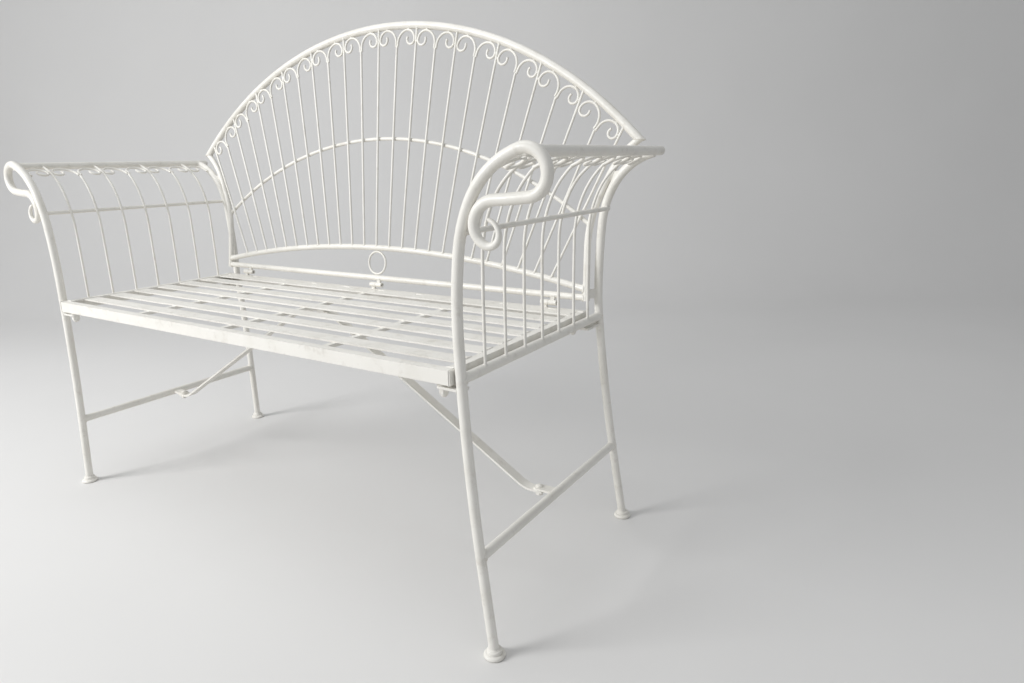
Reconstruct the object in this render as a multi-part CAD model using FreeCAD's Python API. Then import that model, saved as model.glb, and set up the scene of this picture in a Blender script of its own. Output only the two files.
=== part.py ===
import FreeCAD, Part
import math
import os

# A painted wrought-metal garden bench with a fan back, scrolled arms and a slatted seat.
# Frame: X across the bench, Y from front to back, Z up; the origin is on the floor, under the
# middle of the space that the four feet take. All sizes are in millimetres.
# Every round tube and rod is a sweep along straight runs and arcs that are tangent to each other.

V = FreeCAD.Vector

# ---- driving dimensions ---------------------------------------------------------------------
# sections
FRAME_TUBE = 16.0        # legs, posts, arm rails, side rails, stretchers and top arch
BACK_TUBE = 13.0         # stiles, bottom rail and lower arch
BAND_ROD = 8.0           # the long rods that cross the spindles
SPINDLE_ROD = 5.0        # spindles, scrolls and ring
FLAT_THICK = 4.0         # tabs, braces and plates
FLAT_WIDE = 20.0         # tabs and braces
WELD_GAP = 0.1           # left between two rods that are welded side by side

# side frames
SIDE_X = 552.0           # side rail's axis from the middle of the bench
LEG_PITCH = 448.0        # front leg to rear post
REAR_SPLAY = 38.0        # how far the rear foot stands behind its post
FOOT_OUT = 38.0          # foot's centre outside the side rail's axis
ARM_OUT = 103.0          # arm rail's axis outside the side rail's axis
ARM_ABOVE = 290.0        # arm rail's axis above the seat's top
ARM_OVERHANG = 18.0      # arm rail past the rear post
STRETCHER_Z = 163.0
ARM_BAND_DROP = 100.0    # the arm's long rod under the arm rail's axis
ARM_SPINDLES = 7
SCROLL_END = 5.5         # the leg scroll's tip is drawn down to this

# feet
FOOT_DIAM = 34.0
FOOT_PAD = 7.0           # height of the pad
FOOT_COLLAR_DIAM = 24.0
FOOT_COLLAR_TOP = 13.0
FOOT_FLOOR = 4.0         # metal under the tube's end

# seat
SEAT_Z = 450.0           # top of the slats
SEAT_FRONT_OUT = 12.0    # seat's front face in front of the front legs' axis
SEAT_CLEAR = 5.5         # seat frame's side to the side rail
SEAT_BACK_IN = 27.0      # seat's rear edge in front of the rear posts' axis
RAIL_DROP = 14.0         # side rail's axis under the seat's top
ANGLE_FLANGE = 16.0
ANGLE_DROP = 22.0
ANGLE_THICK = 3.0
SLAT_WIDE = 30.0
SLAT_THICK = 3.0
OPEN_SLATS = 6           # slats with a gap on both sides, besides the one beside the rear rail
BEARER_WIDE = 12.0
BEARER_THICK = 6.0
BEARERS = 3
CORNER_PLATE = 40.0
SEAT_BOLT_IN = 24.0      # seat bolts inside the seat frame's sides
SEAT_BOLT_BACK = 16.0    # and inside its front and rear faces
SPACER_DIAM = 15.0
SPACER_HIGH = 5.6        # between a corner plate and its tab
TAB_SEAT_GAP = 0.2
BRACE_BEND = 14.0        # length of a brace's bend on each side of its corner
BRACE_BOLT_IN = 36.0     # brace's bolt from the stretcher's axis

# back
HINGE_ABOVE = 9.5        # hinge axis above the seat's top
BOTTOM_RAIL_ABOVE = 24.5  # bottom rail's axis above the seat's top
BACK_LEAN = 7.0          # degrees
BACK_HEIGHT = 544.0      # bottom rail's axis to the top arch's axis, along the leaning back
STILE_IN = 18.0          # stile's foot inside the side rail's axis
CORNER_OUT = 66.0        # stile's top, where it meets the top arch, outside that axis
CORNER_HEIGHT = 288.0
MID_ARCH_TOP = 310.0
MID_ARCH_END = 135.0     # where it meets the stiles
LOWER_ARCH_TOP = 69.0
LOWER_ARCH_END = 15.0
FAN_COUNT = 12           # spindles on each side of the middle one
FAN_FOOT_IN = 78.0       # last spindle's foot from the stile's foot
FAN_END_STEPS = 12.7     # angle steps from the middle to a corner of the arch
SCROLL_RISE = 33.0       # from a fork to the top of its scrolls

# hinges
KNUCKLE_DIAM = 11.0
KNUCKLE_LONG = 17.0
KNUCKLE_GAP = 0.6
HINGE_PIN = 5.0
PIN_CLEAR = 0.15
HINGE_LUG = 4.4
HINGE_IN = 79.0          # outer hinges from the stiles' feet

# fasteners
BOLT = 8.0
BOLT_CLEAR = 0.4
NUT_FLATS = 13.0
NUT_HIGH = 6.5
CAP_NUT_HIGH = 8.5       # without its dome
THREAD_CLEAR = 0.1
HEAD_DIAM = 14.0
HEAD_HIGH = 4.5

# ---- places worked out from them ------------------------------------------------------------
FRONT_Y = -(LEG_PITCH + REAR_SPLAY) / 2
POST_Y = FRONT_Y + LEG_PITCH
REAR_FOOT_Y = POST_Y + REAR_SPLAY
RAIL_Z = SEAT_Z - RAIL_DROP
ARM_Z = SEAT_Z + ARM_ABOVE
ARM_BAND_Z = ARM_Z - ARM_BAND_DROP
SEAT_FRONT = FRONT_Y - SEAT_FRONT_OUT
SEAT_REAR = POST_Y - SEAT_BACK_IN
SEAT_HALF = SIDE_X - FRAME_TUBE / 2 - SEAT_CLEAR
UNDER_SLATS = SEAT_Z - SLAT_THICK
BACK_Y = SEAT_REAR + 2.0
BACK_Z = SEAT_Z + BOTTOM_RAIL_ABOVE
BACK_BOTTOM_X = SIDE_X - STILE_IN
CORNER_X = SIDE_X + CORNER_OUT
FAN_FOOT_PITCH = (BACK_BOTTOM_X - FAN_FOOT_IN) / FAN_COUNT
HINGE_X = BACK_BOTTOM_X - HINGE_IN
LEAN = math.radians(BACK_LEAN)
NODES = {}


# ---- helpers --------------------------------------------------------------------------------
def add(name, *solids):
    """Keeps a node's solids; a mirrored pair is two nodes."""
    NODES[name] = list(solids)


def mirrored(shape):
    return shape.mirror(V(0, 0, 0), V(1, 0, 0))


def add_pair(name, *solids):
    """The right-hand piece and its mirror image on the left."""
    add("right_" + name, *solids)
    add("left_" + name, *[mirrored(s) for s in solids])


def upright(y):
    """Plane across the bench at one depth: (across, up) to space."""
    return lambda u, v: V(u, y, v)


def leaning(depth=0.0):
    """Plane of the back, set off towards the rear by depth."""
    c, s = math.cos(LEAN), math.sin(LEAN)
    return lambda u, v: V(u, BACK_Y + v * s + depth * c, BACK_Z + v * c - depth * s)


def tangent_path(start, heading, points, place):
    """Arcs through flat points, each tangent to the one before; heading in degrees from across."""
    edges, (u, v), angle = [], start, math.radians(heading)
    for pu, pv in points:
        du, dv = pu - u, pv - v
        turn = 2 * math.remainder(math.atan2(dv, du) - angle, 2 * math.pi)
        a, b = place(u, v), place(pu, pv)
        if abs(turn) < 1e-4:
            edges.append(Part.LineSegment(a, b).toShape())
        else:
            bulge = math.tan(turn / 4) / 2
            mid = place(u + du / 2 + dv * bulge, v + dv / 2 - du * bulge)
            edges.append(Part.Arc(a, mid, b).toShape())
        u, v, angle = pu, pv, angle + turn
    return edges


def round_section(edge, diam, at_end=False):
    where = edge.LastParameter if at_end else edge.FirstParameter
    return Part.Wire([Part.makeCircle(diam / 2, edge.valueAt(where), edge.tangentAt(where))])


def bar(edges, diam):
    """A round tube or rod along a path."""
    return Part.Wire(edges).makePipeShell([round_section(edges[0], diam)], True, False)


def bent_bar(edge, diam):
    """A round bar bent to one arc: its section turned about the arc's centre."""
    arc = edge.Curve
    turn = math.degrees(edge.LastParameter - edge.FirstParameter)
    return Part.Face(round_section(edge, diam)).revolve(arc.Center, arc.Axis, turn)


def rod(a, b, diam):
    return Part.makeCylinder(diam / 2, (b - a).Length, a, b - a)


def flat_strip(edges, thick, wide):
    """A flat bar, bent only the easy way, along a path in an upright plane."""
    a, t = edges[0].valueAt(edges[0].FirstParameter), edges[0].tangentAt(edges[0].FirstParameter)
    n, w = V(-t.z, 0, t.x) * (thick / 2), V(0, wide / 2, 0)
    section = Part.makePolygon([a + n + w, a - n + w, a - n - w, a + n - w, a + n + w])
    return Part.Wire(edges).makePipeShell([section], True, False)


def trimmed(piece, *others):
    """The largest part of a piece that is left outside its neighbours.
    A cut whose edge falls on a round surface's seam comes out empty, broken or unchanged, so it
    is made again with the neighbour a hair aside."""
    for other in others:
        for hair in range(12):
            aside = V(0.0003 * hair, 0.0002 * hair, 0.0004 * hair)
            left = piece.cut(other.translated(aside)).Solids
            whole = left and all(s.isValid() for s in left)
            if whole and sum(s.Volume for s in left) < piece.Volume - 1.0:
                break
        else:
            print("nothing was cut from the piece at", [round(v) for v in piece.BoundBox.Center])
        piece = max(left or [piece], key=lambda s: s.Volume)
    return piece


def box(x0, x1, y0, y1, z0, z1):
    return Part.makeBox(x1 - x0, y1 - y0, z1 - z0, V(x0, y0, z0))


def point_at(edges, z):
    """Where a path first passes a height."""
    for edge in edges:
        lo, hi = edge.FirstParameter, edge.LastParameter
        if (edge.valueAt(lo).z - z) * (edge.valueAt(hi).z - z) <= 0:
            for _ in range(50):
                mid = (lo + hi) / 2
                same = (edge.valueAt(lo).z - z) * (edge.valueAt(mid).z - z) > 0
                lo, hi = (mid, hi) if same else (lo, mid)
            return edge.valueAt(lo)
    raise ValueError("the path does not pass height %g" % z)


def saddle(edges, z):
    """Cutters that shape the ends of a tube to sit on stiles of the same size.
    Each is a straight stand-in for a stile at that height, a weld gap fatter, with a block that
    blunts the two thin horns that the stand-in alone would leave."""
    centre = point_at(edges, z)
    along = (point_at(edges, z + BACK_TUBE / 2) - centre).normalize() * (BACK_TUBE * 1.5)
    fatter = rod(centre - along, centre + along, BACK_TUBE + 2 * WELD_GAP)
    x, y, big = centre.x - BACK_TUBE / 4, centre.y, BACK_TUBE * 1.5
    cutter = fatter.fuse(box(x, x + 2 * big, y - big, y + big, z - big, z + big))
    return [cutter, mirrored(cutter)]


def rounded_tab(x_in, x_out, y, z_top):
    """A flat horizontal tab with a round inner end, bored there for a bolt."""
    r, z = FLAT_WIDE / 2, z_top - FLAT_THICK
    plate = box(x_in + r, x_out, y - r, y + r, z, z_top)
    end = Part.makeCylinder(r, FLAT_THICK, V(x_in + r, y, z))
    hole = Part.makeCylinder((BOLT + BOLT_CLEAR) / 2, FLAT_THICK, V(x_in + r, y, z))
    return plate.fuse(end).removeSplitter().cut(hole)


def headed_bolt(x, y, seat_z, end_z):
    """A round-headed bolt that points down, its head resting on seat_z."""
    r, cap = HEAD_DIAM / 2, HEAD_HIGH * 0.7
    ball, top, rim = (r ** 2 + cap ** 2) / (2 * cap), seat_z + HEAD_HIGH, seat_z + HEAD_HIGH - cap
    dome = Part.makeSphere(ball, V(x, y, top - ball))
    dome = dome.common(box(x - r - 1, x + r + 1, y - r - 1, y + r + 1, rim, top + 1))
    head = rod(V(x, y, seat_z), V(x, y, rim), HEAD_DIAM)
    return head.fuse([dome, rod(V(x, y, end_z), V(x, y, seat_z), BOLT)]).removeSplitter()


def hexagon(x, y, z_low, high):
    r = NUT_FLATS / math.sqrt(3)
    corners = [V(x + r * math.cos(math.radians(60 * k)), y + r * math.sin(math.radians(60 * k)), z_low)
               for k in range(7)]
    return Part.Face(Part.makePolygon(corners)).extrude(V(0, 0, high))


def hex_nut(x, y, z_top):
    bore = rod(V(x, y, z_top - NUT_HIGH), V(x, y, z_top), BOLT + THREAD_CLEAR)
    return hexagon(x, y, z_top - NUT_HIGH, NUT_HIGH).cut(bore)


def cap_nut(x, y, z_top):
    """A hexagon nut with a closed dome under it."""
    dome_r = NUT_FLATS / 2 - 0.4
    z = z_top - CAP_NUT_HIGH
    dome = Part.makeSphere(dome_r, V(x, y, z)).common(box(x - 9, x + 9, y - 9, y + 9, z - 9, z))
    bore = rod(V(x, y, z - 1.5), V(x, y, z_top), BOLT + THREAD_CLEAR)
    return hexagon(x, y, z, CAP_NUT_HIGH).fuse(dome).removeSplitter().cut(bore)


# ---- side frames ----------------------------------------------------------------------------
# The profile of a leg, as (outside the side rail's axis, height): it leaves the foot leaning in,
# is narrowest a little above the seat and turns out again towards the arm.
LEG_START, LEG_HEADING = (FOOT_OUT, FOOT_FLOOR), 97.0
LEG_LOW = [(21.0, STRETCHER_Z - 20), (-5.0, SEAT_Z + 40)]
LEG_HIGH = [(1.0, ARM_Z - 130), (21.0, ARM_Z - 63)]
SCROLL_TOP = [(ARM_OUT - 5, ARM_Z + 3)]
SCROLL_LOOP = [(137.0, ARM_Z - 28), (112.0, ARM_Z - 54), (60.0, ARM_Z - 58),
               (12.0 + FRAME_TUBE, ARM_Z - 88)]
SCROLL_TIP = [(46.0, ARM_Z - 116), (66.0, ARM_Z - 100), (52.0, ARM_Z - 83)]


def outside(points):
    return [(SIDE_X + u, v) for u, v in points]


def front_leg_path():
    points = LEG_LOW + LEG_HIGH + SCROLL_TOP + SCROLL_LOOP + SCROLL_TIP
    return tangent_path(outside([LEG_START])[0], LEG_HEADING, outside(points), upright(FRONT_Y))


def front_leg(path):
    """One tube from the foot up, over and down again; the scroll's last arcs are drawn thinner."""
    plain, drawn = path[:-len(SCROLL_TIP)], path[-len(SCROLL_TIP):]
    slope = (FRAME_TUBE - SCROLL_END) / sum(arc.Length for arc in drawn)
    pieces, diam = [], FRAME_TUBE
    for arc in drawn:
        thinner = diam - slope * arc.Length
        sections = [round_section(arc, diam), round_section(arc, thinner, True)]
        pieces.append(Part.Wire([arc]).makePipeShell(sections, True, False))
        diam = thinner
    last = drawn[-1]
    pieces.append(Part.makeSphere(SCROLL_END / 2, last.valueAt(last.LastParameter)))
    return bar(plain, FRAME_TUBE).fuse(pieces)


def rear_leg_plane(u, v):
    """The rear leg keeps the front leg's profile but leans back from the side rail down."""
    fall = max(RAIL_Z - v, 0.0) / (RAIL_Z - FOOT_FLOOR)
    return V(u, POST_Y + REAR_SPLAY * fall, v)


def rear_post_paths():
    """The upper post is upright; the lower leg is bent back at the side rail."""
    low_points = outside(LEG_LOW)
    profile = tangent_path(outside([LEG_START])[0], LEG_HEADING, low_points, upright(POST_Y))
    knee = point_at(profile, RAIL_Z)
    lower = [e for e in profile if e.valueAt(e.LastParameter).z < RAIL_Z]
    ends = outside([LEG_START, LEG_LOW[0]])
    first = tangent_path(ends[0], LEG_HEADING, [ends[1]], rear_leg_plane)
    heading = first[-1].tangentAt(first[-1].LastParameter)
    up = math.degrees(math.atan2(heading.z, heading.x))
    second = tangent_path(ends[1], up, [(knee.x, knee.z)], rear_leg_plane)
    high = outside([LEG_LOW[-1]] + LEG_HIGH + [(ARM_OUT - 5, ARM_Z - 3)])
    upper = tangent_path((knee.x, knee.z), 94.5, high, upright(POST_Y))
    return first + second, upper, knee


def rear_post(lower, upper, knee, arm_rail):
    leg = bar(lower, FRAME_TUBE)
    post = trimmed(bar(upper, FRAME_TUBE), arm_rail)
    return post.fuse([leg, Part.makeSphere(FRAME_TUBE / 2, knee)])


def foot(x, y, leg):
    """A round pad with a collar that the leg's end is welded into."""
    r, c, e = FOOT_DIAM / 2, FOOT_COLLAR_DIAM / 2, FOOT_PAD * 0.4
    profile = Part.Wire([
        Part.makeLine(V(0, 0, 0), V(r - e, 0, 0)),
        Part.Arc(V(r - e, 0, 0), V(r - e * 0.3, 0, e * 0.3), V(r, 0, e)).toShape(),
        Part.Arc(V(r, 0, e), V(r - e * 0.4, 0, FOOT_PAD - e * 0.5), V(r - e * 1.5, 0, FOOT_PAD)).toShape(),
        Part.makeLine(V(r - e * 1.5, 0, FOOT_PAD), V(c, 0, FOOT_PAD)),
        Part.makeLine(V(c, 0, FOOT_PAD), V(c, 0, FOOT_COLLAR_TOP - 2)),
        Part.Arc(V(c, 0, FOOT_COLLAR_TOP - 2), V(c - 0.6, 0, FOOT_COLLAR_TOP - 0.6),
                 V(c - 2, 0, FOOT_COLLAR_TOP)).toShape(),
        Part.makeLine(V(c - 2, 0, FOOT_COLLAR_TOP), V(0, 0, FOOT_COLLAR_TOP)),
        Part.makeLine(V(0, 0, FOOT_COLLAR_TOP), V(0, 0, 0))])
    pad = Part.Face(profile).revolve(V(0, 0, 0), V(0, 0, 1), 360)
    pad.translate(V(x, y, 0))
    return trimmed(pad, leg)


def arm_rail():
    x, end = SIDE_X + ARM_OUT, POST_Y + ARM_OVERHANG
    tube = rod(V(x, FRONT_Y, ARM_Z), V(x, end, ARM_Z), FRAME_TUBE)
    return tube.fuse(Part.makeSphere(FRAME_TUBE / 2, V(x, end, ARM_Z))).removeSplitter()


# an arm spindle rises from the side rail and follows the leg's curve out to the arm rail
SPINDLE_RISE = [(1.0, ARM_Z - 140), (21.0, ARM_Z - 63)]
SPINDLE_TOP = (ARM_OUT - 7, ARM_Z - 2)
ARM_FORK = (54.0, ARM_Z - 21)


def arm_spindle_path(y, top):
    return tangent_path((SIDE_X, RAIL_Z), 91.0, outside(SPINDLE_RISE + [top]), upright(y))


def arm_spindle(y, top, *rails):
    return trimmed(bar(arm_spindle_path(y, top), SPINDLE_ROD), *rails)


def scroll(place, width, rise, start=SPINDLE_ROD / 2 + WELD_GAP / 2):
    """One arm of a fork: up and over in a wide arc, down, and back up in a small hook.
    In its own plane the fork is at (0, 0) and the rod beside it at (width, anything)."""
    over, down, hook = 0.6 * width, 0.4 * width, 0.21 * width
    reach, level = over - start, rise - down
    radius = max(reach, (reach ** 2 + rise ** 2) / (2 * rise))
    heading = 90.0 if reach < rise else math.degrees(math.atan2(reach, radius - rise))
    points = [(start, rise - reach)] if reach < rise - 0.1 else []
    points += [(over, rise), (width, level), (width - 2 * hook, level),
               (width - 2 * hook + 0.03 * width, level + 0.12 * width)]
    return bar(tangent_path((start, 0.0), heading, points, place), SPINDLE_ROD)


def arm_scrolls(pitch, rail):
    """Pairs of scrolls on the even spindles, and a half pair at each end of the arm.
    They lie in the plane from the fork to the arm rail."""
    fu, fv = outside([ARM_FORK])[0]
    tu, tv = SIDE_X + ARM_OUT - fu, ARM_Z - fv
    length = math.hypot(tu, tv)
    width = pitch - SPINDLE_ROD - WELD_GAP
    rise = length - FRAME_TUBE / 2 - SPINDLE_ROD / 2 - 1.0 - WELD_GAP
    rise = min(rise, 0.66 * width)
    pieces = []

    def beside(y, side):
        return lambda u, v: V(fu + tu * v / length, y + side * u, fv + tv * v / length)

    for k in range(2, ARM_SPINDLES, 2):
        for side in (-1, 1):
            pieces.append(scroll(beside(FRONT_Y + k * pitch, side), width, rise))
    at_tube = FRAME_TUBE / 2 + SPINDLE_ROD / 2 + WELD_GAP
    for y, side in ((FRONT_Y, 1), (FRONT_Y + (ARM_SPINDLES + 1) * pitch, -1)):
        pieces.append(scroll(beside(y, side), width, rise, at_tube))
    return pieces


def side_frame():
    leg_path = front_leg_path()
    leg = front_leg(leg_path)
    full_rail = arm_rail()
    lower, upper, knee = rear_post_paths()
    post = rear_post(lower, upper, knee, full_rail)
    rail = trimmed(full_rail, leg)
    x = knee.x
    side = trimmed(rod(V(x, FRONT_Y, RAIL_Z), V(x, POST_Y, RAIL_Z), FRAME_TUBE), leg, post)
    front_low, rear_low = point_at(leg_path, STRETCHER_Z), point_at(lower, STRETCHER_Z)
    stretcher = trimmed(rod(front_low, rear_low, FRAME_TUBE), leg, post)
    across = [point_at(arm_spindle_path(y, SPINDLE_TOP), ARM_BAND_Z) for y in (FRONT_Y, POST_Y)]
    out = V((SPINDLE_ROD + BAND_ROD) / 2 + WELD_GAP, 0, 0)
    band_rod = trimmed(rod(across[0] + out, across[1] + out, BAND_ROD), leg, post)

    add_pair("front_leg", leg)
    add_pair("rear_post", post)
    add_pair("arm_rail", rail)
    add_pair("side_rail", side)
    add_pair("leg_stretcher", stretcher)
    add_pair("arm_band", band_rod)

    pitch = LEG_PITCH / (ARM_SPINDLES + 1)
    ys = [FRONT_Y + pitch * (k + 1) for k in range(ARM_SPINDLES)]
    add_pair("arm_spindles", *[arm_spindle(y, SPINDLE_TOP, side, rail) for y in ys[0::2]])
    add_pair("arm_fork_stems", *[arm_spindle(y, ARM_FORK, side) for y in ys[1::2]])
    add_pair("arm_scrolls", *arm_scrolls(pitch, rail))

    front = foot(SIDE_X + FOOT_OUT, FRONT_Y, leg)
    rear = foot(SIDE_X + FOOT_OUT, REAR_FOOT_Y, post)
    add("feet", front, rear, mirrored(front), mirrored(rear))
    return leg, post, stretcher, (front_low + rear_low) / 2


# ---- seat -----------------------------------------------------------------------------------
def seat_frame():
    """Four angle irons: the side ones run the whole depth, the long ones fit between them."""
    t, f, low = ANGLE_THICK, ANGLE_FLANGE, SEAT_Z - ANGLE_DROP
    inner = SEAT_HALF - t
    side = box(inner, SEAT_HALF, SEAT_FRONT, SEAT_REAR, low, SEAT_Z)
    lip = box(SEAT_HALF - f, inner, SEAT_FRONT + f, SEAT_REAR - f, SEAT_Z - t, SEAT_Z)
    add_pair("seat_side_angle", side.fuse(lip).removeSplitter())
    for name, y0, inward in (("seat_front_rail", SEAT_FRONT, 1), ("seat_rear_rail", SEAT_REAR, -1)):
        web = sorted((y0, y0 + inward * t))
        flange = sorted((y0, y0 + inward * f))
        rail = box(-inner, inner, web[0], web[1], low, SEAT_Z)
        rail = rail.fuse(box(-inner, inner, flange[0], flange[1], SEAT_Z - t, SEAT_Z))
        add(name, rail.removeSplitter())


def seat_slats():
    """Flat bars between the side angles: one beside the rear rail, the others evenly spaced."""
    half = SEAT_HALF - ANGLE_FLANGE
    rear_edge = SEAT_REAR - ANGLE_FLANGE
    free = rear_edge - SLAT_WIDE - (SEAT_FRONT + ANGLE_FLANGE)
    gap = (free - OPEN_SLATS * SLAT_WIDE) / (OPEN_SLATS + 1)
    fronts = [rear_edge - SLAT_WIDE - k * (SLAT_WIDE + gap) for k in range(OPEN_SLATS + 1)]
    add("seat_slats", *[box(-half, half, y, y + SLAT_WIDE, UNDER_SLATS, SEAT_Z) for y in fronts])


def seat_bearers():
    """Evenly spaced bars under the slats, from the front rail's web to the rear rail's."""
    y0, y1 = SEAT_FRONT + ANGLE_THICK, SEAT_REAR - ANGLE_THICK
    top, half = UNDER_SLATS, BEARER_WIDE / 2
    spacing = 2 * (SEAT_HALF - ANGLE_THICK) / (BEARERS + 1)
    places = [spacing * (k - (BEARERS - 1) / 2) for k in range(BEARERS)]
    add("seat_bearers", *[box(x - half, x + half, y0, y1, top - BEARER_THICK, top)
                          for x in places])


def seat_mountings(leg, post):
    """Plates inside the seat frame's corners, each bolted through a spacer to a tab on the leg
    or the post."""
    plate_low = SEAT_Z - ANGLE_DROP
    plate_top = plate_low + FLAT_THICK
    spacer_low = plate_low - SPACER_HIGH
    tab_top = spacer_low - TAB_SEAT_GAP
    bolt_x = SEAT_HALF - SEAT_BOLT_IN
    plates, tabs, bolts, nuts = [], [], [], []
    for y, body, face, inward in ((FRONT_Y, leg, SEAT_FRONT, 1), (POST_Y, post, SEAT_REAR, -1)):
        y_bolt = face + inward * SEAT_BOLT_BACK
        y0, y1 = sorted((face + inward * ANGLE_THICK, face + inward * CORNER_PLATE))
        plate = box(SEAT_HALF - CORNER_PLATE, SEAT_HALF - ANGLE_THICK, y0, y1, plate_low, plate_top)
        spacer = rod(V(bolt_x, y_bolt, spacer_low), V(bolt_x, y_bolt, plate_low), SPACER_DIAM)
        hole = rod(V(bolt_x, y_bolt, 0), V(bolt_x, y_bolt, SEAT_Z), BOLT + BOLT_CLEAR)
        plates.append(plate.fuse(spacer).cut(hole))
        tabs.append(seat_tab(bolt_x, y_bolt, y, tab_top, body))
        end = tab_top - FLAT_THICK - CAP_NUT_HIGH - 1
        bolts.append(headed_bolt(bolt_x, y_bolt, plate_top, end))
        nuts.append(cap_nut(bolt_x, y_bolt, tab_top - FLAT_THICK))
    add_pair("seat_tabs", *tabs)
    for name, solids in (("seat_corner_plates", plates), ("seat_bolts", bolts),
                         ("seat_cap_nuts", nuts)):
        add(name, *(solids + [mirrored(s) for s in solids]))


def seat_tab(bolt_x, bolt_y, leg_y, top, body):
    """From the leg or post to under the corner plate, round about its bolt."""
    tab = rounded_tab(bolt_x - FLAT_WIDE / 2, SIDE_X, bolt_y, top)
    if abs(leg_y - bolt_y) > 1.0:
        y0, y1 = sorted((bolt_y, leg_y))
        arm = box(SIDE_X - FLAT_WIDE * 0.7, SIDE_X, y0, y1 + FLAT_WIDE / 4, top - FLAT_THICK, top)
        tab = tab.fuse(arm).removeSplitter()
    return trimmed(tab, body)


# ---- braces ---------------------------------------------------------------------------------
def braces(stretcher, middle):
    """A flat bar from each stretcher's tab up to a plate under the middle of the seat."""
    y = middle.y
    tab_top = middle.z + FLAT_THICK / 2
    bolt_x = middle.x - BRACE_BOLT_IN
    tab = trimmed(rounded_tab(bolt_x - FLAT_WIDE / 2, middle.x, y, tab_top), stretcher)
    add_pair("brace_tab", tab)

    plate_low = UNDER_SLATS - BEARER_THICK - FLAT_THICK
    inner_x = BEARER_WIDE / 2 + HEAD_DIAM / 2 + 9.0
    low, high = tab_top - 1.5 * FLAT_THICK, plate_low - FLAT_THICK / 2
    run_x, top_x, bend = bolt_x - 26.0, inner_x + 22.0, BRACE_BEND
    slope = math.degrees(math.atan2(high - low, run_x - top_x))
    along = (-bend * math.cos(math.radians(slope)), bend * math.sin(math.radians(slope)))
    points = [(run_x + bend, low), (run_x + along[0], low + along[1]),
              (top_x - along[0], high - along[1]), (top_x - bend, high), (inner_x - 10.0, high)]
    path = tangent_path((bolt_x + 10.0, low), 180.0, points, upright(y))
    strip = flat_strip(path, FLAT_THICK, FLAT_WIDE)
    holes = [rod(V(x, y, z - 9), V(x, y, z + 9), BOLT + BOLT_CLEAR)
             for x, z in ((bolt_x, low), (inner_x, high))]
    add_pair("diagonal_brace", strip.cut(holes))

    half = inner_x + 14.0
    plate = box(-half, half, y - 14, y + 14, plate_low, plate_low + FLAT_THICK)
    bores = [rod(V(x, y, plate_low), V(x, y, plate_low + FLAT_THICK), BOLT + BOLT_CLEAR)
             for x in (-inner_x, inner_x)]
    add("seat_centre_plate", plate.cut(bores))

    low_top, low_under = tab_top, tab_top - 2 * FLAT_THICK
    high_top, high_under = plate_low + FLAT_THICK, plate_low - FLAT_THICK
    spots = [(bolt_x, low_top, low_under), (inner_x, high_top, high_under)]
    bolts = [headed_bolt(x, y, top, under - NUT_HIGH - 1.5) for x, top, under in spots]
    nuts = [hex_nut(x, y, under) for x, top, under in spots]
    add("brace_bolts", *(bolts + [mirrored(s) for s in bolts]))
    add("brace_nuts", *(nuts + [mirrored(s) for s in nuts]))


# ---- back -----------------------------------------------------------------------------------
class Circle:
    """A flat arch over the middle of the back, through its top and one end."""

    def __init__(self, top, end_x, end_height):
        drop = top - end_height
        self.radius = (end_x ** 2 + drop ** 2) / (2 * drop)
        self.centre = top - self.radius

    def height(self, x):
        return self.centre + math.sqrt(self.radius ** 2 - x ** 2)

    def at(self, angle, inside=0.0):
        r = self.radius - inside
        return r * math.sin(angle), self.centre + r * math.cos(angle)

    def path(self, end_x, place, beyond=0.0):
        """From one end to the other; beyond adds a straight run at each end."""
        z = self.height(end_x)
        edges = [Part.Arc(place(-end_x, z), place(0, self.centre + self.radius),
                          place(end_x, z)).toShape()]
        if beyond:
            angle = math.asin(end_x / self.radius)
            dx, dz = beyond * math.cos(angle), -beyond * math.sin(angle)
            edges.insert(0, Part.LineSegment(place(-end_x - dx, z + dz), place(-end_x, z)).toShape())
            edges.append(Part.LineSegment(place(end_x, z), place(end_x + dx, z + dz)).toShape())
        return edges


ARCH = Circle(BACK_HEIGHT, CORNER_X, CORNER_HEIGHT)
FAN_STEP = math.asin(CORNER_X / ARCH.radius) / FAN_END_STEPS
STILE_POINTS = [(BACK_BOTTOM_X - 4, 92.0), (BACK_BOTTOM_X + 12, 182.0), (BACK_BOTTOM_X + 32, 227.0),
                (CORNER_X, CORNER_HEIGHT)]


def mitre_side(place, corner, angle, above):
    """A big block on one side of the plane through the corner at an angle."""
    u, v = corner
    c, s = math.cos(angle), math.sin(angle)
    side = 60.0 if above else -60.0
    a, b = (u - 60 * c, v - 60 * s), (u + 60 * c, v + 60 * s)
    ring = [a, b, (b[0] - side * s, b[1] + side * c), (a[0] - side * s, a[1] + side * c), a]
    face = Part.Face(Part.makePolygon([place(*p) for p in ring]))
    normal = (place(0, 0) - leaning(-1.0)(0, 0)).normalize()
    face.translate(normal * -30)
    return face.extrude(normal * 60)


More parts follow.
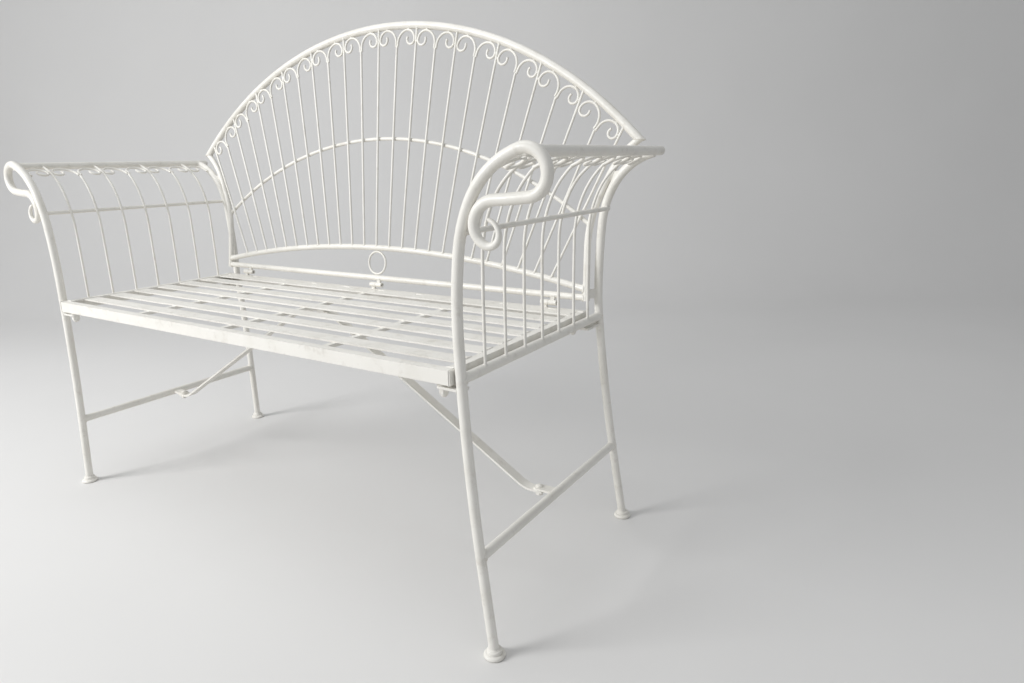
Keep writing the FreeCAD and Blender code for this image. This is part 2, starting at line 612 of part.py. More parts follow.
def back_frame():
    place = leaning()
    stile_edges = tangent_path((BACK_BOTTOM_X, -BACK_TUBE / 2), 93.0, STILE_POINTS, place)
    last = stile_edges[-1]
    end, run = last.valueAt(last.LastParameter), last.tangentAt(last.LastParameter)
    stile_edges.append(Part.LineSegment(end, end + run * BACK_TUBE * 1.5).toShape())
    stile_angle = math.atan2(run.z / math.cos(LEAN), run.x)
    arch_angle = -math.asin(CORNER_X / ARCH.radius)
    mitre = (stile_angle + arch_angle) / 2
    corner = (CORNER_X, CORNER_HEIGHT)
    below = mitre_side(place, corner, mitre, False)
    stile = trimmed(bar(stile_edges, BACK_TUBE), mitre_side(place, corner, mitre, True))
    arch = bar(ARCH.path(CORNER_X, place, FRAME_TUBE * 1.5), FRAME_TUBE)
    arch = trimmed(arch, below, mirrored(below))
    add("top_arch", arch)
    add_pair("back_stile", stile)

    both = [stile, mirrored(stile)]
    rail = rod(place(-BACK_BOTTOM_X, 0), place(BACK_BOTTOM_X, 0), BACK_TUBE)
    add("back_bottom_rail", trimmed(rail, *saddle(stile_edges, place(0, 0).z)))
    lower = Circle(LOWER_ARCH_TOP, BACK_BOTTOM_X, LOWER_ARCH_END)
    lower_arch = bent_bar(lower.path(BACK_BOTTOM_X, place)[0], BACK_TUBE)
    lower_arch = trimmed(lower_arch, *saddle(stile_edges, place(0, LOWER_ARCH_END).z))
    add("back_lower_arch", lower_arch)
    set_off = (BAND_ROD + SPINDLE_ROD + 2 * WELD_GAP) / 4
    middle = Circle(MID_ARCH_TOP, BACK_BOTTOM_X - 2, MID_ARCH_END)
    band = bar(middle.path(BACK_BOTTOM_X - 2, leaning(set_off)), BAND_ROD)
    add("back_mid_arch", trimmed(band, *both))
    return stile, arch, lower, lower_arch, leaning(-set_off)


def fan_line(index, lower):
    """Foot and head of a fan spindle, at the axes of the lower and the top arch."""
    x = index * FAN_FOOT_PITCH
    return (x, lower.height(x)), ARCH.at(index * FAN_STEP)


def fork_point(index, lower):
    """Where a forked spindle ends: one scroll's rise inside the top arch."""
    (bx, bz), (tx, tz) = fan_line(index, lower)
    inside = FRAME_TUBE / 2 + SPINDLE_ROD / 2 + SCROLL_RISE + WELD_GAP
    lo, hi = 0.0, 1.0
    for _ in range(40):
        mid = (lo + hi) / 2
        x, z = bx + (tx - bx) * mid, bz + (tz - bz) * mid
        short = math.hypot(x, z - ARCH.centre) < ARCH.radius - inside
        lo, hi = (mid, hi) if short else (lo, mid)
    return bx + (tx - bx) * lo, bz + (tz - bz) * lo


def scroll_width(fork, across, up, line):
    """The width at which a scroll just meets the spindle beside it, which leans in its plane."""
    (bx, bz), (tx, tz) = line
    length = math.hypot(tx - bx, tz - bz)
    normal = ((tz - bz) / length, -(tx - bx) / length)
    if normal[0] * across[0] + normal[1] * across[1] < 0:
        normal = (-normal[0], -normal[1])
    room = (bx - fork[0]) * normal[0] + (bz - fork[1]) * normal[1] - SPINDLE_ROD - WELD_GAP
    a = across[0] * normal[0] + across[1] * normal[1]
    b = up[0] * normal[0] + up[1] * normal[1]
    widths = []
    for out, radius in ((0.6, 0.4), (0.79, 0.21)):  # the wide arc, then the hook
        widths.append((room - SCROLL_RISE * b) / (out * a - 0.4 * b + radius))
    return min(widths)


def fan(arch, lower, lower_arch, place):
    straight, stems, scrolls = [], [], []
    for index in range(-FAN_COUNT, FAN_COUNT + 1):
        foot_at, head_at = fan_line(index, lower)
        if index % 2 == 0:
            spindle = rod(place(*foot_at), place(*head_at), SPINDLE_ROD)
            straight.append(trimmed(spindle, arch, lower_arch))
            continue
        fork = fork_point(index, lower)
        tilt = math.atan2(fork[0], fork[1] - ARCH.centre)
        lean = math.atan2(fork[0] - foot_at[0], fork[1] - foot_at[1])
        short = SPINDLE_ROD / 2 * abs(math.tan(tilt - lean)) + WELD_GAP
        end = fork[0] - short * math.sin(lean), fork[1] - short * math.cos(lean)
        stems.append(trimmed(rod(place(*foot_at), place(*end), SPINDLE_ROD), lower_arch))
        up = (math.sin(tilt), math.cos(tilt))
        for side in (-1, 1):
            across = (side * up[1], -side * up[0])
            width = scroll_width(fork, across, up, fan_line(index + side, lower))

            def spot(u, v, c=across, n=up, f=fork):
                return place(f[0] + c[0] * u + n[0] * v, f[1] + c[1] * u + n[1] * v)

            scrolls.append(scroll(spot, width, SCROLL_RISE))
    add("back_spindles", *straight)
    add("back_fork_stems", *stems)
    add("back_scrolls", *scrolls)


def centre_ring():
    """A ring that fills the height between the bottom rail and the lower arch."""
    height = LOWER_ARCH_TOP - BACK_TUBE - 2 * WELD_GAP
    middle = leaning()(0, LOWER_ARCH_TOP / 2)
    normal = leaning(1.0)(0, 0) - leaning()(0, 0)
    add("back_ring", Part.makeTorus((height - SPINDLE_ROD) / 2, SPINDLE_ROD / 2, middle, normal))


def stile_tabs(stile, post):
    """Flat pieces that join each stile to its rear post."""
    tabs = []
    stile_path = tangent_path((BACK_BOTTOM_X, -BACK_TUBE / 2), 93.0, STILE_POINTS, leaning())
    upper = rear_post_paths()[1]
    for z in (BACK_Z + 6, ARM_Z - 42):
        a, b = point_at(stile_path, z), point_at(upper, z)
        across = V(b.x - a.x, b.y - a.y, 0)
        side = V(-across.y, across.x, 0).normalize() * (FLAT_THICK / 2)
        corner = [a + side, b + side, b - side, a - side, a + side]
        plate = Part.Face(Part.makePolygon([p - V(0, 0, 8.5) for p in corner])).extrude(V(0, 0, 17))
        tabs.append(trimmed(plate, stile, post))
    add("stile_tabs", *(tabs + [mirrored(t) for t in tabs]))


def hinges():
    """Barrel hinges: the left knuckle stands on the seat, the right one hangs from the back."""
    axis_y, axis_z = SEAT_REAR - HINGE_LUG / 2, SEAT_Z + HINGE_ABOVE
    rail = rod(leaning()(-BACK_BOTTOM_X, 0), leaning()(BACK_BOTTOM_X, 0), BACK_TUBE)
    seat_side, back_side, pins = [], [], []
    for x in (-HINGE_X, 0.0, HINGE_X):
        bore = rod(V(x - 30, axis_y, axis_z), V(x + 30, axis_y, axis_z), HINGE_PIN + 2 * PIN_CLEAR)
        for out, side in ((seat_side, -1), (back_side, 1)):
            x0 = x + KNUCKLE_GAP / 2 if side > 0 else x - KNUCKLE_GAP / 2 - KNUCKLE_LONG
            barrel = rod(V(x0, axis_y, axis_z), V(x0 + KNUCKLE_LONG, axis_y, axis_z), KNUCKLE_DIAM)
            top, low = (BACK_Z, axis_z) if side > 0 else (axis_z, SEAT_Z)
            lug = box(x0 + 4, x0 + KNUCKLE_LONG - 4, axis_y - HINGE_LUG / 2, axis_y + HINGE_LUG / 2,
                      low, top)
            knuckle = barrel.fuse(lug).removeSplitter().cut(bore)
            out.append(trimmed(knuckle, rail) if side > 0 else knuckle.Solids[0])
        reach = KNUCKLE_LONG + KNUCKLE_GAP / 2
        pins.append(rod(V(x - reach - 1, axis_y, axis_z), V(x + reach - 4, axis_y, axis_z), HINGE_PIN))
    add("seat_hinge_knuckles", *seat_side)
    add("back_hinge_knuckles", *back_side)
    add("hinge_pins", *pins)


# ---- the bench ------------------------------------------------------------------------------
def main():
    leg, post, stretcher, middle = side_frame()
    seat_frame()
    seat_slats()
    seat_bearers()
    seat_mountings(leg, post)
    braces(stretcher, middle)
    stile, arch, lower, lower_arch, fan_plane = back_frame()
    fan(arch, lower, lower_arch, fan_plane)
    centre_ring()
    stile_tabs(stile, post)
    hinges()

    os.makedirs("parts", exist_ok=True)
    for name, solids in NODES.items():
        for solid in solids:
            if not solid.isValid() or solid.Volume < 1.0:
                print("CHECK", name, solid.ShapeType, round(solid.Volume, 2))
        shape = solids[0] if len(solids) == 1 else Part.makeCompound(solids)
        shape.exportStep("parts/%s.step" % name)
    print(len(NODES), "nodes,", sum(len(s) for s in NODES.values()), "solids")


main()
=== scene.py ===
# %% [markdown]
# # A painted wrought-metal garden bench
# The real bench is bent steel tube, thin rod and flat bar, welded together and painted cream.
# It has a fan of spindles in an arched back, arms that end in a scroll, and a seat of flat slats.
# The steel pieces come from the CAD model as they are. This script lights them, paints them, and
# adds what a welder leaves behind: a bead round every joint.

# %% Load the CAD model
import math
import bpy
import bmesh
from mathutils import Matrix, Vector, noise
from mathutils.bvhtree import BVHTree


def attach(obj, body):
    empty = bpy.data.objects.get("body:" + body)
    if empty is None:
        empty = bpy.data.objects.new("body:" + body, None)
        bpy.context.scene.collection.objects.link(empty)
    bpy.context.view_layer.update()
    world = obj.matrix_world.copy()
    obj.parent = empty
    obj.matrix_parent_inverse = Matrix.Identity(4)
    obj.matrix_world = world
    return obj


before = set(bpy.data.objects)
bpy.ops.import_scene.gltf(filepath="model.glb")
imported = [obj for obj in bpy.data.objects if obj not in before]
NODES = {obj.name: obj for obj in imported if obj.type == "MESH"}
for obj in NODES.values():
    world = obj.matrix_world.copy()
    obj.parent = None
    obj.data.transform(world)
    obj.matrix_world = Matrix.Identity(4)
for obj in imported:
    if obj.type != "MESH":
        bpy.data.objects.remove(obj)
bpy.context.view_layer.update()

print("pieces in the model:", len(NODES))

# %% [markdown]
# ## Where we look from
# A camera can be placed by eye, or from three angles and a position. Angles are steadier: yaw
# turns it to the left, pitch tips it down, and roll leans it a little. The lens is a wide one,
# since the camera stands close to the bench's right arm, so the near scroll looks large.

# %% Camera
EYE = Vector((1.0915, -0.9605, 0.7292))
YAW, PITCH, ROLL = 0.5675, 0.2613, -0.023
LENS_MM, SENSOR_MM = 23.81, 36

ahead = Vector((-math.sin(YAW) * math.cos(PITCH), math.cos(YAW) * math.cos(PITCH),
                -math.sin(PITCH)))
level = Vector((math.cos(YAW), math.sin(YAW), 0))
upward = level.cross(ahead)
right = level * math.cos(ROLL) + upward * math.sin(ROLL)
top = upward * math.cos(ROLL) - level * math.sin(ROLL)

camera_data = bpy.data.cameras.new("bench_camera")
camera_data.lens, camera_data.sensor_width = LENS_MM, SENSOR_MM
camera_data.clip_start = 0.01
camera = bpy.data.objects.new("bench_camera", camera_data)
bpy.context.scene.collection.objects.link(camera)
turn = Matrix((right, top, -ahead)).transposed().to_4x4()
camera.matrix_world = Matrix.Translation(EYE) @ turn
bpy.context.scene.camera = camera
print("camera looks along", [round(v, 3) for v in ahead])

# %% [markdown]
# ## Two helpers for materials
# Paint and floor alike need a material, which in Blender is a small graph of nodes. It could be
# drawn by hand in the shader editor, or written out a line per setting. Two helpers keep it short:
# one starts a material and hands back its parts, the other adds a node with all its settings.

# %% Material helpers
def new_material(name):
    """A new material, with its nodes, its links and its main shader."""
    material = bpy.data.materials.new(name)
    material.use_nodes = True
    tree = material.node_tree
    return material, tree.nodes, tree.links, tree.nodes["Principled BSDF"]


def add_node(nodes, kind, **settings):
    """A node with its settings; a name of an input sets that input's value."""
    node = nodes.new(kind)
    for key, value in settings.items():
        if key in node.inputs:
            node.inputs[key].default_value = value
        else:
            setattr(node, key, value)
    return node


print("helpers made: new_material, add_node")

# %% [markdown]
# ## A plain floor that turns into a wall
# Behind the bench the floor curves up into a wall, as a roll of studio paper does, so that no
# horizon cuts through the thin rods. The sheet could be one big bent grid. A short profile, drawn
# once and stretched sideways, needs fewer faces and keeps the curve easy to change.

# %% Floor
CLOUD_SCALE = 1.3
FLOOR_ROUGHNESS = 0.75
FLOOR_HALF_WIDTH = 7.0
FLOOR_BEHIND = 1.9
FLOOR_IN_FRONT = 6.0
CURVE_RADIUS = 1.2
WALL_HEIGHT = 5.0
CURVE_STEPS = 24
FLOOR_DARKER, FLOOR_PALER = (0.74, 0.738, 0.735, 1), (0.80, 0.798, 0.795, 1)

floor_paint, nodes, links, shader = new_material("pale_floor")
shader.inputs["Roughness"].default_value = FLOOR_ROUGHNESS
cloudy = add_node(nodes, "ShaderNodeTexNoise", Scale=CLOUD_SCALE, Detail=3.0)
floor_tone = nodes.new("ShaderNodeValToRGB")
floor_tone.color_ramp.elements[0].color = FLOOR_DARKER
floor_tone.color_ramp.elements[1].color = FLOOR_PALER
where = nodes.new("ShaderNodeTexCoord")
links.new(where.outputs["Object"], cloudy.inputs["Vector"])
links.new(cloudy.outputs["Fac"], floor_tone.inputs["Fac"])
links.new(floor_tone.outputs["Color"], shader.inputs["Base Color"])

outward = Vector((ahead.x, ahead.y, 0)).normalized()
profile = [(-FLOOR_IN_FRONT, 0.0)]
for step in range(CURVE_STEPS + 1):
    angle = math.pi / 2 * step / CURVE_STEPS
    away = FLOOR_BEHIND + CURVE_RADIUS * math.sin(angle)
    profile.append((away, CURVE_RADIUS * (1 - math.cos(angle))))
profile.append((FLOOR_BEHIND + CURVE_RADIUS, WALL_HEIGHT))

corners = []
for away, height in profile:
    for side in (-FLOOR_HALF_WIDTH, FLOOR_HALF_WIDTH):
        corners.append(outward * away + level * side + Vector((0, 0, height)))
strips = [(2 * k, 2 * k + 1, 2 * k + 3, 2 * k + 2) for k in range(len(profile) - 1)]
floor_mesh = bpy.data.meshes.new("floor")
floor_mesh.from_pydata(corners, [], strips)
floor_mesh.shade_smooth()
floor_mesh.materials.append(floor_paint)
floor = bpy.data.objects.new("floor", floor_mesh)
bpy.context.scene.collection.objects.link(floor)
print("floor strips:", len(strips))

# %% [markdown]
# ## Soft light
# White paint needs soft light: a hard lamp would blow out its lit side and hide the shape of the
# tubes. So a large panel stands on the left like a window, a weak one fills from the right, a
# third hangs over the seat, and the pale surroundings light the rest.

# %% Light
ROOM_TINT = (0.93, 0.94, 0.95, 1)
ROOM_STRENGTH = 0.38


def panel_light(name, place, aim, size, watts, tint):
    """A round soft lamp, size metres across, turned to face a point."""
    data = bpy.data.lights.new(name, "AREA")
    data.shape, data.size, data.energy, data.color = "DISK", size, watts, tint
    lamp = bpy.data.objects.new(name, data)
    lamp.location = place
    lamp.rotation_euler = (Vector(aim) - Vector(place)).to_track_quat("-Z", "Y").to_euler()
    bpy.context.scene.collection.objects.link(lamp)


panel_light("window_left", (-1.9, -2.7, 1.9), (0.1, 0.0, 0.5), 1.5, 98, (1.0, 0.995, 0.985))
panel_light("fill_right", (2.6, -1.2, 1.9), (0.2, 0.0, 0.5), 2.2, 4, (0.97, 0.98, 1.0))
panel_light("ceiling", (-0.3, -0.4, 3.2), (0.0, 0.1, 0.4), 2.0, 22, (1.0, 1.0, 0.99))

world = bpy.data.worlds.new("pale_room")
bpy.context.scene.world = world
world.use_nodes = True
room = world.node_tree.nodes["Background"]
room.inputs["Color"].default_value = ROOM_TINT
room.inputs["Strength"].default_value = ROOM_STRENGTH
bpy.context.scene.view_settings.view_transform = "Standard"

# %% [markdown]
# ## Cream paint
# The real coat is a satin cream, brushed or sprayed over steel that was never quite smooth. It is
# a touch greyer where it lies thin, faintly grimy in patches, and knocked off in specks at edges,
# where the dark primer shows. The undersides get a painted shade, darker and warmer. An image of
# paint could be wrapped on, but it would stretch on bent tube. Noise in the bench's own space needs
# no wrapping, and runs on from piece to piece. First come the colours, and the two ways in which
# they are mixed.

# %% Colours and blending
CREAM = (0.845, 0.832, 0.790, 1)
THIN_CREAM = (0.740, 0.722, 0.665, 1)
# painted shade: the darker, warmer colour laid on faces that point down
UNDERSIDE_PAINTED_SHADE = (0.600, 0.555, 0.470, 1)
GRIME = (0.430, 0.385, 0.320, 1)
PRIMER = (0.110, 0.085, 0.065, 1)


def blend_colours(nodes, links, factor, below, above):
    """One colour laid over another; each of the two may be a value or another node's output."""
    mix = nodes.new("ShaderNodeMix")
    mix.data_type = "RGBA"
    links.new(factor, mix.inputs["Factor"])
    for socket, colour in ((mix.inputs["A"], below), (mix.inputs["B"], above)):
        if isinstance(colour, tuple):
            socket.default_value = colour
        else:
            links.new(colour, socket)
    return mix.outputs["Result"]


def ramp_between(nodes, links, value, low, high, out_low=0.0, out_high=1.0):
    """A smooth step from one level to another while the value goes from low to high."""
    step = add_node(nodes, "ShaderNodeMapRange", interpolation_type="SMOOTHSTEP")
    limits = {"From Min": low, "From Max": high, "To Min": out_low, "To Max": out_high}
    for name, number in limits.items():
        step.inputs[name].default_value = number
    links.new(value, step.inputs["Value"])
    return step.outputs["Result"]


print("cream", CREAM[:3], "over primer", PRIMER[:3])

# %% [markdown]
# ## One recipe, six coats
# The same paint looks different on tube, rod, flat bar, weld, feet and bolts, because the steel
# under it differs. Six materials could be written out, but a change of colour would then be made
# six times. One recipe with a few dials gives them all: how big and how high the unevenness is,
# how much is worn off at edges and in specks, and how glossy it dried.

# %% Paint recipe
# scales are noise per metre, ranges are where a pattern fades in or out, shares how much shows
PATCH_SCALE, PATCH_RANGE, PATCH_SHARE = 16.0, (0.42, 0.68), 0.45
GRIME_SCALE, GRIME_RANGE, GRIME_SHARE = 48.0, (0.54, 0.72), 0.22
# painted shade: full where a face points straight down, fading out just past level
PAINTED_SHADE_RANGE, PAINTED_SHADE_SHARE = (-0.95, 0.25), 0.42
SPECK_SCALE, SPECK_LEVEL, SPECK_BLUR = 650.0, 0.82, 0.03
FLAW_SCALE, FLAW_LEVEL, FLAW_BLUR = 420.0, 0.67, 0.04
EDGE_ROUNDING, EDGE_RANGE = 0.0009, (0.80, 0.985)
GLOSS_SCALE, GLOSS_RANGE = 60.0, (0.30, 0.70)
GRAIN_SCALE, GRAIN_HEIGHT = 1500.0, 0.00010


def cream_paint(name, lumps_mm, lump_height_mm, edge_wear, specks, roughness):
    """Satin cream. lumps_mm and lump_height_mm are the size of the unevenness under the coat;
    edge_wear and specks, from 0 to 1, say how much paint is off at edges and on open surface."""
    material, nodes, links, shader = new_material(name)
    where = nodes.new("ShaderNodeTexCoord").outputs["Object"]

    def noise_at(scale, detail=2.0, rough=0.5):
        texture = add_node(nodes, "ShaderNodeTexNoise", Scale=scale, Detail=detail, Roughness=rough)
        links.new(where, texture.inputs["Vector"])
        return texture.outputs["Fac"]

    def ramp(value, *limits):
        return ramp_between(nodes, links, value, *limits)

    def maths(operation, value, other):
        result = add_node(nodes, "ShaderNodeMath", operation=operation)
        links.new(value, result.inputs[0])
        if isinstance(other, float):
            result.inputs[1].default_value = other
        else:
            links.new(other, result.inputs[1])
        return result.outputs["Value"]

    surface = nodes.new("ShaderNodeNewGeometry")
    patches = maths("MULTIPLY", ramp(noise_at(PATCH_SCALE, 3.0), *PATCH_RANGE), PATCH_SHARE)
    coat = blend_colours(nodes, links, patches, CREAM, THIN_CREAM)

    # painted shade: faces that point down are painted darker and warmer
    facing = nodes.new("ShaderNodeSeparateXYZ")
    links.new(surface.outputs["Normal"], facing.inputs["Vector"])
    under = ramp(facing.outputs["Z"], *PAINTED_SHADE_RANGE, PAINTED_SHADE_SHARE, 0.0)
    coat = blend_colours(nodes, links, under, coat, UNDERSIDE_PAINTED_SHADE)

    dust = ramp(noise_at(GRIME_SCALE, 4.0, 0.66), *GRIME_RANGE)
    dusty = maths("MULTIPLY", dust, GRIME_SHARE)
    coat = blend_colours(nodes, links, dusty, coat, GRIME)

    speck_level = SPECK_LEVEL - 0.06 * specks
    bare = ramp(noise_at(SPECK_SCALE, 2.0, 0.7), speck_level, speck_level + SPECK_BLUR)
    normal = surface.outputs["Normal"]
    if edge_wear > 0:
        rounded = add_node(nodes, "ShaderNodeBevel", samples=4, Radius=EDGE_ROUNDING)
        along_face = add_node(nodes, "ShaderNodeVectorMath", operation="DOT_PRODUCT")
        links.new(rounded.outputs["Normal"], along_face.inputs[0])
        links.new(surface.outputs["True Normal"], along_face.inputs[1])
        edge = ramp(along_face.outputs["Value"], *EDGE_RANGE, 1.0, 0.0)
        flaw_level = FLAW_LEVEL - 0.10 * edge_wear
        knocked = ramp(noise_at(FLAW_SCALE, 3.0, 0.62), flaw_level, flaw_level + FLAW_BLUR)
        bare = maths("MAXIMUM", maths("MULTIPLY", knocked, edge), bare)
        normal = rounded.outputs["Normal"]
    coat = blend_colours(nodes, links, bare, coat, PRIMER)
    links.new(coat, shader.inputs["Base Color"])

    sheen = ramp(noise_at(GLOSS_SCALE, 3.0), *GLOSS_RANGE, roughness - 0.06, roughness + 0.10)
    links.new(sheen, shader.inputs["Roughness"])

    lumps = add_node(nodes, "ShaderNodeBump", Strength=1.0, Distance=lump_height_mm / 1000)
    links.new(noise_at(1000.0 / lumps_mm, 2.0), lumps.inputs["Height"])
    links.new(normal, lumps.inputs["Normal"])
    grain = add_node(nodes, "ShaderNodeBump", Strength=0.55, Distance=GRAIN_HEIGHT)
    links.new(noise_at(GRAIN_SCALE, 2.0, 0.6), grain.inputs["Height"])
    links.new(lumps.outputs["Normal"], grain.inputs["Normal"])
    links.new(grain.outputs["Normal"], shader.inputs["Normal"])
    return material


# the dials: lump size and height in mm, edge wear, specks, roughness
TUBE_PAINT = cream_paint("tube_paint", 9, 0.26, 0.0, 0.10, 0.36)
ROD_PAINT = cream_paint("rod_paint", 14, 0.25, 0.0, 0.05, 0.38)
STRAP_PAINT = cream_paint("strap_paint", 18, 0.30, 0.70, 0.20, 0.42)
WELD_PAINT = cream_paint("weld_paint", 3.5, 0.55, 0.0, 0.20, 0.40)
FOOT_PAINT = cream_paint("foot_paint", 12, 0.40, 0.6, 0.60, 0.44)
BOLT_PAINT = cream_paint("bolt_paint", 6, 0.20, 0.7, 0.30, 0.36)
print("paints:", [m.name for m in bpy.data.materials])

# %% [markdown]
# ## Paint for every piece
# Round tube takes a smooth coat, thin rod a smooth one too, and flat bar loses paint at its
# corners. A list could give every piece its paint, but it would be long and easy to get wrong.
# The name of a piece already tells what stock it is cut from, so the paint follows the name.

# %% Paint the model's pieces
STOCK = {
    "foot": ("feet",),
    "bolt": ("bolts", "nuts", "pins"),
    "rod": ("spindles", "stems", "scrolls", "band", "mid_arch", "ring"),
    "strap": ("seat_", "brace", "tab", "knuckles"),
}
PAINTS = {"rod": ROD_PAINT, "strap": STRAP_PAINT, "bolt": BOLT_PAINT, "foot": FOOT_PAINT}


def stock_of(name):
    """The first kind of stock with a word in the piece's name; the rest is tube."""
    for kind, words in STOCK.items():
        if any(word in name for word in words):
            return kind
    return "tube"


painted = {}
for name, piece in sorted(NODES.items()):
    kind = stock_of(name)
    piece.data.materials.clear()
    piece.data.materials.append(PAINTS.get(kind, TUBE_PAINT))
    painted.setdefault(kind, []).append(name)
print({kind: len(names) for kind, names in painted.items()})

# %% [markdown]
# ## Where the welds are
# On a bench of this kind the end of a tube, rod or flat bar is welded all round to what it meets.
# The joints need no list. A cut end is a ring of sharp edges, so where such edges lie on another
# piece, the two were welded there. That holds for any joint, and follows the model if it changes.

# %% Find the seams
SEAM_REACH = 0.0006
SEAM_CORNER = math.radians(28)
SEAM_STEP = 0.002
SAME_CORNER = 0.00001
NEVER_WELDED = ("bolts", "nuts", "pins")


def joined_shape(piece):
    """The piece's mesh in the bench's own space, with corners that coincide made one."""
    shape = bmesh.new()
    shape.from_mesh(piece.data)
    shape.transform(piece.matrix_world)
    bmesh.ops.remove_doubles(shape, verts=shape.verts, dist=SAME_CORNER)
    shape.verts.index_update()
    shape.edges.index_update()
    return shape


def corners_of(shape):
    """The lowest and highest corner of a shape's box."""
    low = Vector([min(v.co[axis] for v in shape.verts) for axis in range(3)])
    high = Vector([max(v.co[axis] for v in shape.verts) for axis in range(3)])
    return low, high


def overlap(a, b, margin=0.001):
    """Whether two boxes meet, or nearly do."""
    return all(a[0][k] - margin < b[1][k] and b[0][k] - margin < a[1][k] for k in range(3))


weldable = [name for name in sorted(NODES) if not any(word in name for word in NEVER_WELDED)]
shapes = {name: joined_shape(NODES[name]) for name in weldable}
trees = {name: BVHTree.FromBMesh(shape) for name, shape in shapes.items()}
boxes = {name: corners_of(shape) for name, shape in shapes.items()}


def trees_near(name, candidates):
    """The surfaces of the candidates whose boxes meet a piece's own."""
    return [trees[other] for other in candidates
            if other != name and overlap(boxes[name], boxes[other])]


near = {name: trees_near(name, weldable) for name in weldable}


def touching(point, others):
    """Whether a point all but lies on one of the other surfaces."""
    return any(tree.find_nearest(point, SEAM_REACH)[0] is not None for tree in others)


def seams_on(name):
    """Where a piece's sharp edges lie on another piece, as lists of points."""
    whole, parts = [], []
    for edge in shapes[name].edges:
        if len(edge.link_faces) != 2 or edge.calc_face_angle() < SEAM_CORNER:
            continue
        a, b = edge.verts[0].co, edge.verts[1].co
        steps = max(2, math.ceil((b - a).length / SEAM_STEP))
        points = [a.lerp(b, k / steps) for k in range(steps + 1)]
        on = [touching(point, near[name]) for point in points]
        if all(on):
            whole.append(edge)
            continue
        stretch = []
        for point, is_on in zip(points, on):
            if is_on:
                stretch.append(point)
            elif stretch:
                parts.append(stretch)
                stretch = []
        if stretch:
            parts.append(stretch)
    return runs_of(whole) + [part for part in parts if len(part) > 2]


def runs_of(edges):
    """Edges that follow on from each other, as lists of points."""
    at_corner = {}
    for edge in edges:
        for vert in edge.verts:
            at_corner.setdefault(vert.index, []).append(edge)
    unused = {edge.index for edge in edges}
    loose_ends = [corner for corner, meeting in sorted(at_corner.items()) if len(meeting) != 2]
    runs = []
    for start in loose_ends + sorted(at_corner):
        here, run = start, []
        while True:
            step = next((e for e in at_corner[here] if e.index in unused), None)
            if step is None:
                break
            unused.discard(step.index)
            first, second = step.verts
            if first.index != here:
                first, second = second, first
            run = run or [first.co.copy()]
            run.append(second.co.copy())
            here = second.index
        if run:
            runs.append(run)
    return runs


seams = {name: seams_on(name) for name in weldable}
print("seams found:", sum(len(runs) for runs in seams.values()), "on", len(weldable), "pieces")

# %% [markdown]
# ## Weld beads
# A bead is a small rope of metal that freezes in ripples as the torch moves on. Each one here is
# a rope swept along its seam: it swells and thins by noise, carries the ripples, and overlaps its
# own start as a welder's does. Bump in the paint could fake the ripples, but not the outline.
# A bead stands out about 1 mm on rods and 2 mm on tube. A long seam isn't welded all along, which
# would warp the bar, but stitched at even steps.

# %% Lay the beads
BEAD_RADIUS = {"rod": 0.00105, "strap": 0.0013, "tube": 0.0019, "foot": 0.0016}
BEAD_STEP = 0.0008
BEAD_SIDES = 7
RIPPLE = 0.0023
SHORTEST_BEAD = 0.004
LONG_SEAM = 0.15
STITCH = 0.014
STITCH_PITCH = 0.11
SAME_POINT = 0.0001
SWELL_SHARE, SWELL_SCALE, RIPPLE_SHARE = 0.30, 180, 0.10
END_THICKNESS, END_GROWTH = 0.45, 0.25


def even_points(run, step):
    """Points at even steps along a run; a closed one goes on a little past its start."""
    closed = (run[0] - run[-1]).length < SAME_POINT
    line = run + run[1:3] if closed else run
    points, carry = [line[0].copy()], 0.0
    for a, b in zip(line, line[1:]):
        length = (b - a).length
        reach = step - carry
        while reach <= length and length > 0:
            points.append(a.lerp(b, reach / length))
            reach += step
        carry = length - (reach - step)
    return points


def stitches(points):
    """The whole line of a short seam, or short stretches of a long one."""
    if len(points) * BEAD_STEP < LONG_SEAM:
        return [points]
    pitch, length = round(STITCH_PITCH / BEAD_STEP), round(STITCH / BEAD_STEP)
    return [points[k:k + length] for k in range(pitch // 2, len(points) - length, pitch)]


def lay_bead(mesh, points, radius):
    """Sweeps a rippled rope along the points; returns how many beads that makes, 1 or 0."""
    if len(points) * BEAD_STEP < SHORTEST_BEAD:
        return 0
    side = (points[1] - points[0]).orthogonal().normalized()
    rings = []
    for k, point in enumerate(points):
        along = (points[min(k + 1, len(points) - 1)] - points[max(k - 1, 0)]).normalized()
        side = (side - along * side.dot(along)).normalized()
        other = along.cross(side)
        swell = 1 + SWELL_SHARE * noise.noise(point * SWELL_SCALE)
        swell += RIPPLE_SHARE * math.sin(2 * math.pi * k * BEAD_STEP / RIPPLE)
        from_end = min(k, len(points) - 1 - k)
        thick = radius * swell * min(1.0, END_THICKNESS + END_GROWTH * from_end)
        ring = []
        for corner in range(BEAD_SIDES):
            angle = 2 * math.pi * corner / BEAD_SIDES
            out = side * math.cos(angle) + other * math.sin(angle)
            ring.append(mesh.verts.new(point + out * thick))
        rings.append(ring)
    for one, two in zip(rings, rings[1:]):
        for corner in range(BEAD_SIDES):
            after = (corner + 1) % BEAD_SIDES
            mesh.faces.new((one[corner], one[after], two[after], two[corner]))
    mesh.faces.new(list(reversed(rings[0])))
    mesh.faces.new(rings[-1])
    return 1


def add_piece(name, mesh, paint):
    """Makes a mesh into a visible, painted piece of the bench."""
    bmesh.ops.recalc_face_normals(mesh, faces=mesh.faces)
    data = bpy.data.meshes.new(name)
    mesh.to_mesh(data)
    mesh.free()
    data.shade_smooth()
    data.materials.append(paint)
    piece = bpy.data.objects.new(name, data)
    bpy.context.scene.collection.objects.link(piece)
    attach(piece, "root")


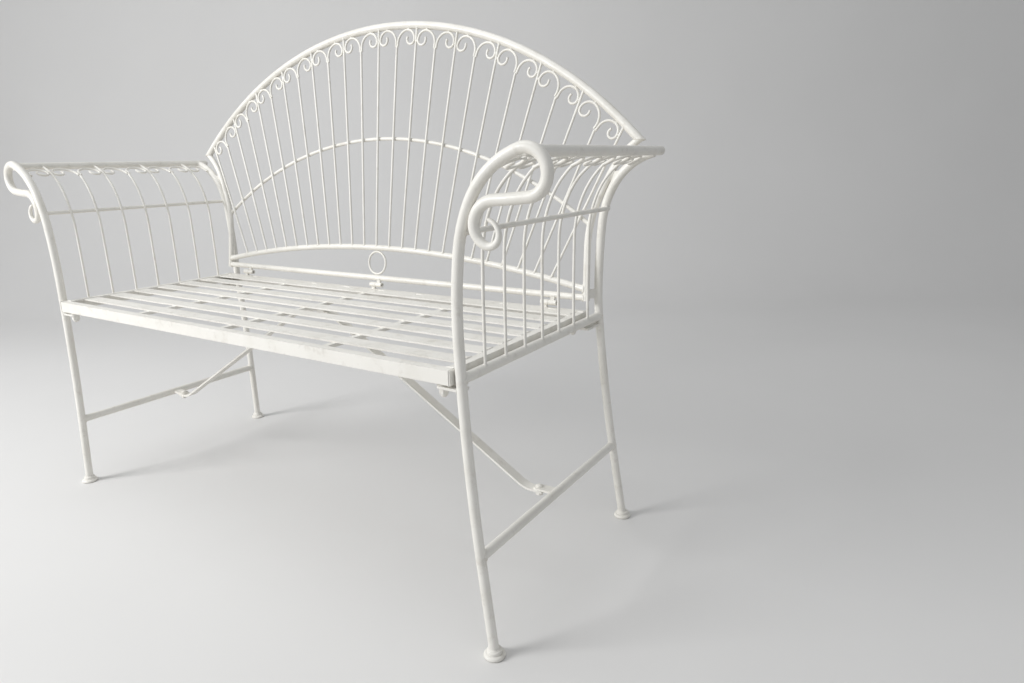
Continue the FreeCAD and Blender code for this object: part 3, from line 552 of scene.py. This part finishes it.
beads = 0
for name in weldable:
    mesh = bmesh.new()
    radius = BEAD_RADIUS[stock_of(name)]
    laid = 0
    for run in seams[name]:
        for stitch in stitches(even_points(run, BEAD_STEP)):
            laid += lay_bead(mesh, stitch, radius)
    if laid:
        add_piece("weld_beads_" + name, mesh, WELD_PAINT)
        beads += laid
    else:
        mesh.free()
print("beads laid:", beads)

# %% [markdown]
# ## Tacks where rods cross
# A long rod crosses the spindles of each arm and of the back, and the little scrolls lean on the
# stems. There is no cut end there, so the welder puts a drop of metal in the angle. A drop is a
# ball pushed out of shape by noise, set where the two surfaces come closest.

# %% Set the tacks
def pieces_named(*words):
    """The weldable pieces with one of the words in their name."""
    return [name for name in weldable if any(word in name for word in words)]


CROSSING_RODS = pieces_named("band", "mid_arch", "scrolls")
CROSSED = pieces_named("spindles", "stems", "top_arch")
TACK_STEP = 0.001
TACK_RADIUS = 0.0027
TACK_APART = 0.010
DENT_SHARE, DENT_SCALE, DENT_SHIFT = 0.35, 1.4, 900


def close_points(name, others):
    """Points on a rod that all but touch one of the others."""
    found = []
    for edge in shapes[name].edges:
        a, b = edge.verts[0].co, edge.verts[1].co
        steps = max(1, round((b - a).length / TACK_STEP))
        for k in range(steps):
            point = a.lerp(b, k / steps)
            if touching(point, others):
                found.append(point)
    return found


def spots(points):
    """The middle of each cluster of points."""
    clusters = []
    for point in points:
        for cluster in clusters:
            if (cluster[0] - point).length < TACK_APART:
                cluster.append(point)
                break
        else:
            clusters.append([point])
    return [sum(cluster, Vector()) / len(cluster) for cluster in clusters]


def drop(mesh, place, radius):
    """A ball of weld, dented by noise; its place shifts the noise, so no two are alike."""
    ball = bmesh.ops.create_icosphere(mesh, subdivisions=3, radius=radius)
    for vert in ball["verts"]:
        out = vert.co.normalized()
        bump = 1 + DENT_SHARE * noise.noise(out * DENT_SCALE + place * DENT_SHIFT)
        vert.co = place + out * radius * bump


tacks = 0
for name in CROSSING_RODS:
    places = spots(close_points(name, trees_near(name, CROSSED)))
    if places:
        mesh = bmesh.new()
        for place in places:
            drop(mesh, place, TACK_RADIUS)
        add_piece("weld_tacks_" + name, mesh, WELD_PAINT)
        tacks += len(places)
print("tacks set:", tacks)

# %% [markdown]
# ## The nub between leg and scroll
# Each front leg turns over at the top and curls back until it nearly meets itself. A short nub of
# weld ties the curl to the leg, and keeps the arm from springing. It could be a cut piece of
# rod, but the real one is a blob, so it is one more drop, only larger, placed from the leg's box.

# %% Nubs
NUB_IN = 0.125
NUB_BELOW_TOP = 0.090
NUB_RADIUS = 0.0042

nub_mesh = bmesh.new()
for leg, inward in (("right_front_leg", -1), ("left_front_leg", 1)):
    low, high = boxes[leg]
    outer = high.x if inward < 0 else low.x
    place = Vector((outer + inward * NUB_IN, (low.y + high.y) / 2, high.z - NUB_BELOW_TOP))
    drop(nub_mesh, place, NUB_RADIUS)
add_piece("scroll_nubs", nub_mesh, WELD_PAINT)
print("nubs stand", NUB_IN, "m inside the scrolls")
